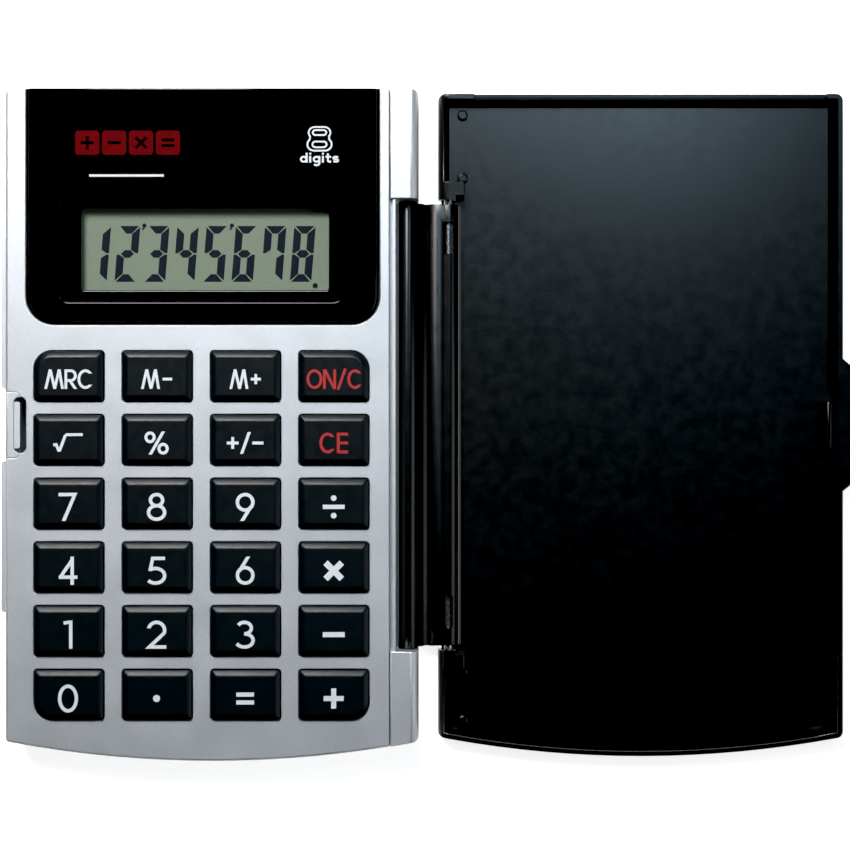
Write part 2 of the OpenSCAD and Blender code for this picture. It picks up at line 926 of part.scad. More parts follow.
module finger_tab() {
  slant = tab_out * 0.8;
  translate([0, 0, tab_z0])
    linear_extrude(cover_t - tab_z0)
      polygon([
        [cover_x1 - 0.5, -tab_y], [cover_x1, -tab_y], [cover_x1 + tab_out, -tab_y + slant],
        [cover_x1 + tab_out, tab_y - slant], [cover_x1, tab_y], [cover_x1 - 0.5, tab_y]
      ]);
}

// Where a point of the closed cover lies when the cover is open
function unfolded(x) = pivot_x + cover_axis_x - x;

module latch_hook() {
  x1 = unfolded(latch_bar_x1 + 0.2);
  box([x1 - hook_t, -hook_w / 2, cover_floor - 0.2], [x1, hook_w / 2, hook_z1]);
}

module flip_cover() {
  step_x0 = unfolded(panel_x1 + panel_clear);
  step_x1 = unfolded(panel_x0 - panel_clear);
  color([0.1, 0.11, 0.12])
    difference() {
      union() {
        intersection() {
          linear_extrude(cover_t)
            cover_plan(0);
          along_y(-body_l, body_l)
            cover_profile();
          difference() {
            box([0, -big, -1], [big, big, big]);
            cover_hollow();
          }
        }
        finger_tab();
        latch_hook();
        // knuckles that hold the pins
        at_both_ends()
          intersection() {
            along_y(notch_y - 1, knuckle_y1)
              cover_profile();
            box([0, 0, 0], [notch_x1, big, big]);
          }
        for (y = [53.7, 42.8, -42.8, -51.2])
          post([cover_x0 + 4.3, y], dot_r, cover_floor - 0.2, cover_floor + 0.7);
      }
      // notch for the spine, with a sloping side; beside the knuckles it stops at the outer skin
      along_y(-skin_y0, skin_y0)
        polygon([
          [0, -1], [notch_x0, -1], [notch_x0, 0], [notch_x1, cover_floor], [notch_x1, big], [0, big]
        ]);
      box([0, -knuckle_y0, skin_t], [notch_x1, knuckle_y0, big]);
      box([knuckle_x1, -notch_y, skin_t], [notch_x1, notch_y, big]);
      // the rim is lower where it passes over the display panel
      box([step_x0, body_y1 - 3, cover_t - rim_step], [step_x1, big, big]);
      // relief on both sides of the hook
      at_both_ends()
        box([cover_x1 - 3, hook_w / 2, cover_floor], [cover_x1 - rim_top, hook_w / 2 + hook_relief, big]);
      at_both_ends()
        bar_y(cover_axis_x, cover_axis_z, pin_r, knuckle_y0 - 1, knuckle_y1 - 0.2);
      translate([0, 0, -1])
        linear_extrude(big)
          for (side = [[cover_x0, 1], [cover_x1, -1]]) {
            corner_cut(side[0], body_y1, side[1], -1, outer_r);
            end_corner_cut(side[0], side[1], outer_r, cover_w / 2);
          }
    }
}

rear_case();
front_bezel();
display_panel();
display_window();
lcd_front_polariser();
lcd_front_glass();
lcd_rear_glass();
lcd_reflector();
zebra_connector();
circuit_board();
chip_blob();
board_components();
board_screws();
keypad_membrane();
button_cell();
battery_contact_positive();
battery_contact_negative();
battery_door();
case_screws();
hinge_spine();
cover_hinge_pins();
flip_cover();
for (row = [0 : key_rows - 1], col = [0 : key_cols - 1])
  key_cap(col, row);
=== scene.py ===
"""Looks of a pocket calculator with a flip cover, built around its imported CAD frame."""

import json
import math

import bmesh
import bpy
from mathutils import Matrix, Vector

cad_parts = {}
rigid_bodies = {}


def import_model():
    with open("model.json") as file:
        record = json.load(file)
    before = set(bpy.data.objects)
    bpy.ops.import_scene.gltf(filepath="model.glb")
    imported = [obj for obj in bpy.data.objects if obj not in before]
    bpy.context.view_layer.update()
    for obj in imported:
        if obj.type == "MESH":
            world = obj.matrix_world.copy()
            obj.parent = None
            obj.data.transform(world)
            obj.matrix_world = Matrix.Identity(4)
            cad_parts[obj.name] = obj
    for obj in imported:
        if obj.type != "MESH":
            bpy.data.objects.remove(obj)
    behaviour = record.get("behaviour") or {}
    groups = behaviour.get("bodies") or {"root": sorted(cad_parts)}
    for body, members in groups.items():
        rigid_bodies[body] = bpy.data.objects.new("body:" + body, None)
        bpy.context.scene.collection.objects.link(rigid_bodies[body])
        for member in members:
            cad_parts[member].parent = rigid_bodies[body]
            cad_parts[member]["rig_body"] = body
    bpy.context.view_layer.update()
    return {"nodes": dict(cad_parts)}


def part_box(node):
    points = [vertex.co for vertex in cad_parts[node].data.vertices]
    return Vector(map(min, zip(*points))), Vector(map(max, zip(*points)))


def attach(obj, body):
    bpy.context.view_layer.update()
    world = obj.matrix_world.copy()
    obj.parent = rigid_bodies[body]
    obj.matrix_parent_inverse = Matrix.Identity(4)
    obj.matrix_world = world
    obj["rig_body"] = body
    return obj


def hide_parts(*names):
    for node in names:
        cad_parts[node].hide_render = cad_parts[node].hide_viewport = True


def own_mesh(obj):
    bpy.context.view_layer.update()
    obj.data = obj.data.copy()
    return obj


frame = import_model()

MM = 0.001
NODES = frame["nodes"]
COLLECTION = bpy.context.scene.collection

# ---------- sizes in millimetres that the frame doesn't give as a box ----------

KEY_GAP = 0.2  # between a key and its hole
FLANGE_OUT = 0.45  # how far a key's flange reaches past its hole
FLANGE_T = 0.75
KEY_EDGE = 0.9  # width of the sloping edge around a key's top
KEY_EDGE_DROP = 0.35
CORNER_LEAST = 0.3
CORNER_SMALL = 0.7
CORNER_LARGE = 3.2
PRINT_T = 0.03  # thickness of printed ink
CASE_TOP = 10.0
CASE_END_R = 186  # radius of the case's curved end, about a point at CASE_END_Y
CASE_END_Y = 129
COVER_FLOOR = 1.2  # height of the cover's inner face

# ---------- shading ----------

FLAT_AREA = 0.3  # in mm2: a larger level or upright face is shaded flat
BEVEL_SEGMENTS = 3
BEVEL_ANGLE = 35  # edges that turn less than this aren't bevelled
MERGE_WITHIN = 0.002  # CAD points nearer than this are one
FLAT_ANGLE = 0.5  # CAD faces that turn less than this are one
BLACK_LEVEL = 0.006  # light below this level shows as black

KEY_ROWS = [
    ["key_mrc", "key_m_minus", "key_m_plus", "key_on_c"],
    ["key_sqrt", "key_percent", "key_sign", "key_ce"],
    ["key_7", "key_8", "key_9", "key_divide"],
    ["key_4", "key_5", "key_6", "key_multiply"],
    ["key_1", "key_2", "key_3", "key_minus"],
    ["key_0", "key_point", "key_equals", "key_plus"],
]


def box_mm(node):
    """The node's lowest and highest corners, in millimetres."""
    low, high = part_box(node)
    return low / MM, high / MM


def middle(node):
    """The middle of the node's box seen from above, in millimetres."""
    low, high = box_mm(node)
    return (low.x + high.x) / 2, (low.y + high.y) / 2


# ---------- materials ----------

FLECK_DETAIL = 2
GRAIN_DETAIL = 3
COLOUR_RANGE = (0.35, 0.65)  # noise values at which a colour is fully the one or the other
ROUGH_RANGE = (0.3, 0.7)
ACRYLIC_IOR = 1.49


def principled(name, **values):
    """A new material and its Principled shader, with constant socket values."""
    material = bpy.data.materials.new(name)
    material.use_nodes = True
    shader = material.node_tree.nodes["Principled BSDF"]
    for socket, value in values.items():
        shader.inputs[socket.replace("_", " ")].default_value = value
    return material, shader


def noise_node(tree, feature_mm, detail):
    """Noise whose features are feature_mm wide, fixed to the piece."""
    place = tree.nodes.new("ShaderNodeTexCoord")
    noise = tree.nodes.new("ShaderNodeTexNoise")
    noise.inputs["Scale"].default_value = 1 / MM / feature_mm
    noise.inputs["Detail"].default_value = detail
    tree.links.new(place.outputs["Object"], noise.inputs["Vector"])
    return noise


def add_grain(material, shader, feature_mm, height_mm):
    """Bumps of the given width and height."""
    tree = material.node_tree
    noise = noise_node(tree, feature_mm, GRAIN_DETAIL)
    bump = tree.nodes.new("ShaderNodeBump")
    bump.inputs["Strength"].default_value = 1
    bump.inputs["Distance"].default_value = height_mm * MM
    tree.links.new(noise.outputs["Fac"], bump.inputs["Height"])
    tree.links.new(bump.outputs["Normal"], shader.inputs["Normal"])


def add_colour(material, shader, low, high, feature_mm):
    """A base colour that wanders between two colours."""
    tree = material.node_tree
    noise = noise_node(tree, feature_mm, FLECK_DETAIL)
    ramp = tree.nodes.new("ShaderNodeValToRGB")
    for element, position, colour in zip(ramp.color_ramp.elements, COLOUR_RANGE, (low, high)):
        element.position = position
        element.color = (*colour, 1)
    tree.links.new(noise.outputs["Fac"], ramp.inputs["Fac"])
    tree.links.new(ramp.outputs["Color"], shader.inputs["Base Color"])


def add_roughness(material, shader, low, high, feature_mm):
    """A roughness that wanders between two values."""
    tree = material.node_tree
    spread = tree.nodes.new("ShaderNodeMapRange")
    spread.inputs["From Min"].default_value = ROUGH_RANGE[0]
    spread.inputs["From Max"].default_value = ROUGH_RANGE[1]
    spread.inputs["To Min"].default_value = low
    spread.inputs["To Max"].default_value = high
    noise = noise_node(tree, feature_mm, FLECK_DETAIL)
    tree.links.new(noise.outputs["Fac"], spread.inputs["Value"])
    tree.links.new(spread.outputs["Result"], shader.inputs["Roughness"])


def finish(name, low, high, fleck_mm, rough, rough_mm, grain, **values):
    """A moulded or coated finish: colour flecks, uneven gloss and a fine grain (width, height)."""
    material, shader = principled(name, **values)
    add_colour(material, shader, low, high, fleck_mm)
    add_roughness(material, shader, rough[0], rough[1], rough_mm)
    add_grain(material, shader, grain[0], grain[1])
    return material


def see_through(name, tint, alpha, rough, scuff_mm):
    """A clear sheet. Its gloss is uneven, as handled plastic is."""
    material, shader = principled(name, Alpha=alpha, IOR=ACRYLIC_IOR)
    add_colour(material, shader, tint, [c * 1.15 for c in tint], scuff_mm)
    add_roughness(material, shader, rough, rough + 0.06, scuff_mm)
    return material


def make_materials():
    return {
        "silver_plastic": finish(
            "silver_paint", (0.57, 0.59, 0.62), (0.65, 0.67, 0.70), 0.14, (0.40, 0.46), 6,
            (0.12, 0.004), Metallic=0.65),
        "gloss_black": finish(
            "gloss_black", (0.0006, 0.0006, 0.0008), (0.0012, 0.0012, 0.0015), 5, (0.06, 0.10), 9,
            (4, 0.002), IOR=ACRYLIC_IOR),
        "clear_pane": see_through("clear_pane", (0.02, 0.022, 0.02), 0.04, 0.03, 7),
        "polariser": finish(
            "polariser", (0.176, 0.222, 0.152), (0.192, 0.238, 0.166), 0.4, (0.5, 0.6), 1,
            (0.1, 0.002)),
        "lcd_glass": see_through("lcd_glass", (0.3, 0.38, 0.32), 0.02, 0.05, 5),
        "reflector_film": finish(
            "reflector_film", (0.50, 0.57, 0.40), (0.58, 0.65, 0.46), 0.1, (0.5, 0.6), 1,
            (0.1, 0.004)),
        "zebra_rubber": finish(
            "zebra_rubber", (0.55, 0.25, 0.28), (0.62, 0.32, 0.35), 0.2, (0.6, 0.7), 2, (0.3, 0.01)),
        "board_green": finish(
            "solder_mask", (0.01, 0.09, 0.03), (0.02, 0.14, 0.05), 1.5, (0.3, 0.42), 3, (0.8, 0.02)),
        "epoxy_black": finish(
            "epoxy", (0.006, 0.006, 0.007), (0.012, 0.012, 0.013), 1, (0.2, 0.35), 2, (1.5, 0.03)),
        "component_brown": finish(
            "component_body", (0.10, 0.045, 0.02), (0.16, 0.075, 0.035), 0.5, (0.35, 0.5), 1,
            (0.2, 0.01)),
        "screw_steel": finish(
            "screw_steel", (0.30, 0.30, 0.31), (0.42, 0.42, 0.43), 0.2, (0.25, 0.4), 0.5,
            (0.1, 0.004), Metallic=1.0),
        "silicone": finish(
            "silicone", (0.42, 0.42, 0.40), (0.50, 0.50, 0.48), 2, (0.5, 0.62), 3, (0.4, 0.008)),
        "cell_steel": finish(
            "cell_steel", (0.62, 0.62, 0.60), (0.70, 0.70, 0.68), 0.3, (0.18, 0.3), 1,
            (0.15, 0.003), Metallic=1.0),
        "contact_brass": finish(
            "contact_brass", (0.60, 0.42, 0.16), (0.72, 0.52, 0.22), 0.6, (0.22, 0.35), 1,
            (0.1, 0.003), Metallic=1.0),
        "black_plastic": finish(
            "sparked_black", (0.0006, 0.0009, 0.0011), (0.0016, 0.0022, 0.0026), 0.3, (0.22, 0.27), 2,
            (0.22, 0.006)),
        "pin_steel": finish(
            "pin_steel", (0.38, 0.38, 0.40), (0.48, 0.48, 0.50), 0.3, (0.2, 0.3), 0.8,
            (0.1, 0.003), Metallic=1.0),
        "key_black": finish(
            "key_black", (0.0022, 0.0046, 0.0060), (0.0034, 0.0062, 0.0078), 0.25, (0.30, 0.36), 1.5,
            (0.22, 0.006), Specular_IOR_Level=0.25),
        "white_ink": finish(
            "white_ink", (0.66, 0.69, 0.73), (0.72, 0.75, 0.78), 0.3, (0.45, 0.55), 0.6,
            (0.1, 0.003)),
        "red_ink": finish(
            "red_ink", (0.34, 0.004, 0.006), (0.44, 0.008, 0.010), 0.3, (0.45, 0.55), 0.6,
            (0.1, 0.003)),
        "dark_red_ink": finish(
            "dark_red_ink", (0.10, 0.001, 0.002), (0.14, 0.002, 0.003), 0.4, (0.55, 0.65), 0.8,
            (0.15, 0.003), Specular_IOR_Level=0.05),
        "segment_ink": finish(
            "segment_ink", (0.004, 0.007, 0.014), (0.008, 0.012, 0.022), 0.5, (0.4, 0.5), 1,
            (0.2, 0.001), Specular_IOR_Level=0.1),
        "floor": finish(
            "floor", (0.88, 0.88, 0.88), (0.92, 0.92, 0.92), 40, (0.7, 0.8), 60, (3, 0.01),
            Emission_Color=(1, 1, 1, 1), Emission_Strength=0.8),
    }


# ---------- mesh helpers; points are in millimetres ----------

def to_object(name, bm, material):
    """Turns millimetre mesh data into an object in the frame's metres."""
    bmesh.ops.recalc_face_normals(bm, faces=bm.faces)
    bmesh.ops.scale(bm, vec=(MM, MM, MM), verts=bm.verts)
    mesh = bpy.data.meshes.new(name)
    bm.to_mesh(mesh)
    bm.free()
    mesh.materials.append(material)
    piece = bpy.data.objects.new(name, mesh)
    COLLECTION.objects.link(piece)
    return piece


def smooth(piece, degrees=32):
    """Smooth shading that breaks at sharper edges and leaves large level or upright faces flat."""
    mesh = piece.data
    mesh.shade_smooth()
    mesh.set_sharp_from_angle(angle=math.radians(degrees))
    for face in mesh.polygons:
        if max(abs(c) for c in face.normal) > 1 - 1e-7 and face.area > FLAT_AREA * MM ** 2:
            face.use_smooth = False


def arc(cx, cy, rx, ry, start, end, steps=20):
    """Points along an elliptical arc, angles in degrees."""
    points = []
    for n in range(steps + 1):
        a = math.radians(start + (end - start) * n / steps)
        points.append((cx + rx * math.cos(a), cy + ry * math.sin(a)))
    return points


def round_rect(x0, y0, x1, y1, radii, steps=8):
    """Outline from the bottom left corner and on anticlockwise, with one radius a corner."""
    corners = [(x0, y0, 1, 1, 180), (x1, y0, -1, 1, 270), (x1, y1, -1, -1, 0), (x0, y1, 1, -1, 90)]
    points = []
    for (x, y, sx, sy, start), r in zip(corners, radii):
        points += arc(x + sx * r, y + sy * r, r, r, start, start + 90, steps)
    return points


def loft(bm, loops):
    """A closed solid through loops of equally many points; each loop is (outline, z)."""
    rings = [[bm.verts.new((x, y, z)) for x, y in outline] for outline, z in loops]
    count = len(rings[0])
    for low, high in zip(rings, rings[1:]):
        for n in range(count):
            m = (n + 1) % count
            bm.faces.new((low[n], low[m], high[m], high[n]))
    bm.faces.new(rings[0][::-1])
    bm.faces.new(rings[-1])


def prism(bm, outline, z0, z1):
    loft(bm, [(outline, z0), (outline, z1)])


def ribbon(bm, left, right, z0, z1, closed):
    """A flat band between two point rows, as a solid."""
    rows = [[bm.verts.new((x, y, z)) for x, y in side] for side in (left, right) for z in (z0, z1)]
    left_low, left_high, right_low, right_high = rows
    count = len(left)
    for n in range(count if closed else count - 1):
        m = (n + 1) % count
        bm.faces.new((left_high[n], left_high[m], right_high[m], right_high[n]))
        bm.faces.new((left_low[n], right_low[n], right_low[m], left_low[m]))
        bm.faces.new((left_low[n], left_low[m], left_high[m], left_high[n]))
        bm.faces.new((right_low[n], right_high[n], right_high[m], right_low[m]))
    if not closed:
        bm.faces.new((left_low[0], left_high[0], right_high[0], right_low[0]))
        bm.faces.new((left_low[-1], right_low[-1], right_high[-1], left_high[-1]))


def offset_sides(points, width, closed):
    """The two sides of a stroke with mitred bends. Its ends are cut level where it is steep."""
    path = [Vector(p) for p in points]
    count = len(path)
    left, right = [], []
    for n, p in enumerate(path):
        before = path[n - 1] if n or closed else None
        after = path[(n + 1) % count] if n < count - 1 or closed else None
        d_in = (p - before).normalized() if before is not None else None
        d_out = (after - p).normalized() if after is not None else None
        if d_in is None or d_out is None:
            d = d_out if d_in is None else d_in
            side = Vector((-d.y, d.x)) * width / 2
            if abs(d.y) > 0.75:
                side = side - d * side.y / d.y
        else:
            d = (d_in + d_out).normalized()
            normal = Vector((-d.y, d.x))
            reach = normal.dot(Vector((-d_in.y, d_in.x)))
            side = normal * width / 2 / max(reach, 0.35)
        left.append(p + side)
        right.append(p - side)
    return left, right


def stroke(bm, points, width, z0, z1, closed=False):
    left, right = offset_sides(points, width, closed)
    ribbon(bm, left, right, z0, z1, closed)


def lathe(bm, profile, cx, cy):
    """Turns a closed (radius, z) profile about the upright line through cx, cy."""
    steps = 32
    rings = []
    for n in range(steps):
        a = 2 * math.pi * n / steps
        ring = [bm.verts.new((cx + r * math.cos(a), cy + r * math.sin(a), z)) for r, z in profile]
        rings.append(ring)
    for n in range(steps):
        one, two = rings[n], rings[(n + 1) % steps]
        for m in range(len(profile)):
            k = (m + 1) % len(profile)
            bm.faces.new((one[m], two[m], two[k], one[k]))
    bmesh.ops.remove_doubles(bm, verts=bm.verts, dist=1e-5)


def plate(bm, outline, holes, z0, z1):
    """A flat sheet with holes."""
    edges = []
    for loop in [outline] + holes:
        ring = [bm.verts.new((x, y, z0)) for x, y in loop]
        edges += [bm.edges.new((ring[n - 1], ring[n])) for n in range(len(ring))]
    filled = bmesh.ops.triangle_fill(bm, use_beauty=True, edges=edges)
    faces = [f for f in filled["geom"] if isinstance(f, bmesh.types.BMFace)]
    raised = bmesh.ops.extrude_face_region(bm, geom=faces)
    top = [v for v in raised["geom"] if isinstance(v, bmesh.types.BMVert)]
    bmesh.ops.translate(bm, vec=(0, 0, z1 - z0), verts=top)


# ---------- the shells: CAD shapes with their edges rounded as moulded parts have them ----------

def rounded_copy(node, name, material_name, materials, rules):
    """A finer copy in place of a CAD node. Each rule is (radius, test of an edge's middle)."""
    bm = bmesh.new()
    bm.from_mesh(NODES[node].data)
    bmesh.ops.scale(bm, vec=(1 / MM, 1 / MM, 1 / MM), verts=bm.verts)
    bmesh.ops.remove_doubles(bm, verts=bm.verts, dist=MERGE_WITHIN)
    bmesh.ops.dissolve_limit(bm, angle_limit=math.radians(FLAT_ANGLE), verts=bm.verts, edges=bm.edges)
    for radius, test in rules:
        edges = []
        for edge in bm.edges:
            if len(edge.link_faces) == 2 and edge.calc_face_angle() > math.radians(BEVEL_ANGLE):
                if edge.is_convex and test((edge.verts[0].co + edge.verts[1].co) / 2):
                    edges.append(edge)
        bmesh.ops.bevel(bm, geom=edges, offset=radius, offset_type="OFFSET", segments=BEVEL_SEGMENTS,
                        profile=0.5, affect="EDGES", clamp_overlap=False, miter_outer="SHARP")
    piece = to_object(name, bm, materials[material_name])
    smooth(piece)
    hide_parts(node)
    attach(piece, NODES[node]["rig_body"])


def on_back(p):
    return p.z < 0.02


def on_case_top(p):
    return p.z > CASE_TOP - 0.02


def on_case_outline(p):
    """On the upper edge of the case's left side or of its curved end."""
    on_end = abs(math.hypot(p.x, p.y - CASE_END_Y) - CASE_END_R) < 0.1
    return on_case_top(p) and (p.x < -34.9 or p.y < -45 and abs(p.x) < 40 and on_end)


def on_rear_outline(p):
    """On an ear's top, or on the back but not beside the spine."""
    return p.z > 9.5 and abs(p.y) > 38 or on_back(p) and not (p.x > 30.7 and abs(p.y) < 38.3)


def in_notch(p):
    """In the cover's notch for the spine."""
    return p.x < 43 and abs(p.y) < 40


def build_shells(materials):
    rounded_copy("front_bezel", "bezel_shell", "silver_plastic", materials, [
        (0.4, on_case_outline),
        (0.12, on_case_top),
    ])
    rounded_copy("rear_case", "rear_shell", "silver_plastic", materials, [
        (0.15, on_rear_outline),
    ])
    rounded_copy("display_panel", "panel_shell", "gloss_black", materials, [
        (0.2, lambda p: p.z > CASE_TOP - 0.05),
    ])
    rounded_copy("hinge_spine", "spine_shell", "black_plastic", materials, [
        (0.1, lambda p: abs(p.y) > 37.9),
    ])
    rounded_copy("flip_cover", "cover_shell", "black_plastic", materials, [
        (0.2, lambda p: p.z > 3.7 and not in_notch(p)),
        (0.3, lambda p: on_back(p) and not in_notch(p)),
        (0.3, lambda p: 1.85 < p.z < 1.95 and p.x < 45),
    ])
    rounded_copy("battery_door", "door_shell", "silver_plastic", materials, [
        (0.1, on_back),
    ])


def build_witness_line(material):
    """The fine raised outline that a mould insert left beside the hook, on the cover's floor."""
    x0, x1, y0, y1 = 94.0, 105.0, -4.35, 4.1
    line_w, line_h = 0.14, 0.05
    bm = bmesh.new()
    stroke(bm, [(x0, y0), (x1, y0), (x1, y1), (x0, y1)], line_w, COVER_FLOOR - line_h,
           COVER_FLOOR + line_h, closed=True)
    line = to_object("cover_witness_line", bm, material)
    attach(line, "cover")


# ---------- keys ----------

def key_radii(row, col):
    """Corner radii of a key: the outer corners of the keypad are rounder."""
    last_row, last_col = len(KEY_ROWS) - 1, len(KEY_ROWS[0]) - 1
    corners = [(last_row, 0), (last_row, last_col), (0, last_col), (0, 0)]
    return [CORNER_LARGE if (row, col) == corner else CORNER_SMALL for corner in corners]


def build_key(name, row, col, material):
    low, high = box_mm(name)
    radii = key_radii(row, col)

    def outline(inset):
        """The key's outline, moved in by inset from the edge of its hole."""
        edge = FLANGE_OUT + inset
        return round_rect(low.x + edge, low.y + edge, high.x - edge, high.y - edge,
                          [max(r - inset, CORNER_LEAST) for r in radii])

    top = high.z - PRINT_T
    slope_z = top - KEY_EDGE_DROP
    slope_end = KEY_GAP + KEY_EDGE
    profile = [
        (-FLANGE_OUT, low.z),
        (-FLANGE_OUT, low.z + FLANGE_T),
        (KEY_GAP, low.z + FLANGE_T),
        (KEY_GAP, slope_z - 0.10),
        (KEY_GAP + 0.03, slope_z - 0.03),
        (KEY_GAP + 0.10, slope_z + 0.02),
        (slope_end - 0.22, top - 0.09),
        (slope_end - 0.08, top - 0.03),
        (slope_end + 0.12, top),
    ]
    bm = bmesh.new()
    loft(bm, [(outline(inset), z) for inset, z in profile])
    piece = to_object("cap_" + name, bm, material)
    smooth(piece, 40)
    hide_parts(name)
    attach(piece, name)


# ---------- printed characters: strokes in a box of width w and height h, s thick ----------

def ring(cx, cy, rx, ry):
    return arc(cx, cy, rx, ry, 0, 360, 32)[:-1]


def glyph_0(w, h, s):
    return [(ring(w / 2, h / 2, (w - s) / 2, (h - s) / 2), True)]


def glyph_1(w, h, s):
    x = w - s / 2
    return [([(x, 0), (x, h)], False), ([(0, h - 0.75 * s), (x, h - 0.42 * s)], False)]


def glyph_2(w, h, s):
    r = (w - s) / 2
    top = arc(w / 2, h - s / 2 - r, r, r, 165, -20, 16)
    return [(top + [(s * 0.75, s / 2), (w, s / 2)], False)]


def glyph_3(w, h, s):
    r1 = h * 0.205
    r2 = h / 2 - s / 2 - r1
    upper = arc(w * 0.46, h - s / 2 - r1, w * 0.36, r1, 150, -90, 18)
    lower = arc(w * 0.46, s / 2 + r2, w / 2 - s / 2 + 0.04 * w, r2, 90, -150, 22)
    return [(upper, False), (lower, False)]


def glyph_4(w, h, s):
    x = w * 0.72
    y = h * 0.27
    return [([(x, 0), (x, h)], False), ([(x, h - s * 0.9), (s * 0.55, y)], False),
            ([(0.02 * w, y), (w, y)], False)]


def glyph_5(w, h, s):
    r = h * 0.31
    bowl = arc(w * 0.44, r + s * 0.1, w * 0.56 - s / 2, r - s * 0.4, 128, -140, 24)
    return [([(w * 0.93, h - s / 2), (w * 0.30, h - s / 2), (w * 0.17, h * 0.50)], False),
            (bowl, False)]


def glyph_6(w, h, s):
    r = (w - s) / 2
    start = (w * 0.66, h)
    return [(ring(w / 2, s / 2 + r, r, r), True), ([start, (s * 0.95, s / 2 + r * 1.45)], False)]


def glyph_7(w, h, s):
    return [([(0, h - s / 2), (w * 0.86, h - s / 2), (w * 0.27, 0)], False)]


def glyph_8(w, h, s):
    r1 = (h - s) * 0.225
    r2 = (h - s) / 2 - r1
    return [(ring(w / 2, h - s / 2 - r1, w * 0.40 - s / 2, r1), True),
            (ring(w / 2, s / 2 + r2, w / 2 - s / 2, r2), True)]


def glyph_9(w, h, s):
    return [([(w - x, h - y) for x, y in points], closed) for points, closed in glyph_6(w, h, s)]


def glyph_m(w, h, s):
    left, middle, right = w * 0.30, w * 0.53, w * 0.76
    return [([(s * 0.5, 0), (left, h)], False), ([(left, h), (middle, 0)], False),
            ([(middle, 0), (right, h)], False), ([(right, h), (w - s * 0.5, 0)], False)]


def glyph_r(w, h, s):
    r = h * 0.25
    bowl = [(s / 2, h - s / 2)] + arc(w * 0.50, h - s / 2 - r, w * 0.38, r, 90, -90, 12)
    return [([(s / 2, 0), (s / 2, h)], False), (bowl + [(s / 2, h - s / 2 - 2 * r)], False),
            ([(w * 0.42, h * 0.44), (w - s * 0.5, 0)], False)]


def glyph_c(w, h, s):
    return [(arc(w * 0.56, h / 2, w * 0.56 - s / 2, (h - s) / 2, 42, 318, 28), False)]


def glyph_n(w, h, s):
    return [([(s / 2, 0), (s / 2, h)], False), ([(s * 0.6, h), (w - s * 0.6, 0)], False),
            ([(w - s / 2, 0), (w - s / 2, h)], False)]


def glyph_e(w, h, s):
    bars = [([(s / 2, y), (w, y)], False) for y in (s / 2, h / 2, h - s / 2)]
    return [([(s / 2, 0), (s / 2, h)], False)] + bars


def glyph_slash(w, h, s):
    return [([(s * 0.5, -0.04 * h), (w - s * 0.5, 1.04 * h)], False)]


def glyph_percent(w, h, s):
    rx, ry = w * 0.17, h * 0.19
    return [(ring(rx + s / 2, h - ry - s / 2, rx, ry), True),
            (ring(w - rx - s / 2, ry + s / 2, rx, ry), True),
            ([(w * 0.24, 0), (w * 0.78, h)], False)]


def glyph_root(w, h, s):
    foot, head = (w * 0.20, s * 0.4), (w * 0.42, h - s / 2)
    return [([(0, h * 0.40), (w * 0.10, h * 0.42), foot], False), ([foot, head], False),
            ([head, (w, h - s / 2)], False)]


def glyph_minus(w, h, s):
    return [([(0, h / 2), (w, h / 2)], False)]


def glyph_plus(w, h, s):
    return [([(0, h / 2), (w, h / 2)], False), ([(w / 2, h / 2 - w / 2), (w / 2, h / 2 + w / 2)], False)]


def glyph_times(w, h, s):
    e = s * 0.36
    return [([(e, e), (w - e, h - e)], False), ([(e, h - e), (w - e, e)], False)]


def glyph_equals(w, h, s):
    return [([(0, h / 2 + s * 0.95), (w, h / 2 + s * 0.95)], False),
            ([(0, h / 2 - s * 0.95), (w, h / 2 - s * 0.95)], False)]


def glyph_d(w, h, s):
    """Small letters: h is the height of their round part."""
    return [(ring(w / 2, h / 2, (w - s) / 2, (h - s) / 2), True),
            ([(w - s / 2, 0), (w - s / 2, h * 1.45)], False)]


def glyph_i(w, h, s):
    return [([(w / 2, 0), (w / 2, h)], False), ([(w / 2, h * 1.2), (w / 2, h * 1.45)], False)]


def glyph_g(w, h, s):
    hook = [(w - s / 2, h)] + arc(w / 2, -h * 0.12, (w - s) / 2, h * 0.25, 0, -150, 8)
    return [(ring(w / 2, h / 2, (w - s) / 2, (h - s) / 2), True), (hook, False)]


def glyph_t(w, h, s):
    foot = arc(w * 0.72, h * 0.32, w * 0.28, h * 0.32 - s / 2, 180, 270, 6)
    return [([(w * 0.44, h * 1.35)] + foot + [(w, s / 2)], False),
            ([(0, h - s / 2), (w, h - s / 2)], False)]


def glyph_s(w, h, s):
    r = (h - s) / 4
    upper = arc(w / 2, h - s / 2 - r, (w - s) / 2, r, 20, 270, 10)
    lower = arc(w / 2, s / 2 + r, (w - s) / 2, r, 90, -160, 10)
    return [(upper + lower[1:], False)]


GLYPHS = {
    "d": glyph_d, "i": glyph_i, "g": glyph_g, "t": glyph_t, "s": glyph_s,
    "0": glyph_0, "1": glyph_1, "2": glyph_2, "3": glyph_3, "4": glyph_4, "5": glyph_5,
    "6": glyph_6, "7": glyph_7, "8": glyph_8, "9": glyph_9, "M": glyph_m, "R": glyph_r,
    "C": glyph_c, "O": glyph_0, "N": glyph_n, "E": glyph_e, "/": glyph_slash,
    "%": glyph_percent, "root": glyph_root, "-": glyph_minus, "+": glyph_plus,
    "x": glyph_times, "=": glyph_equals,
}

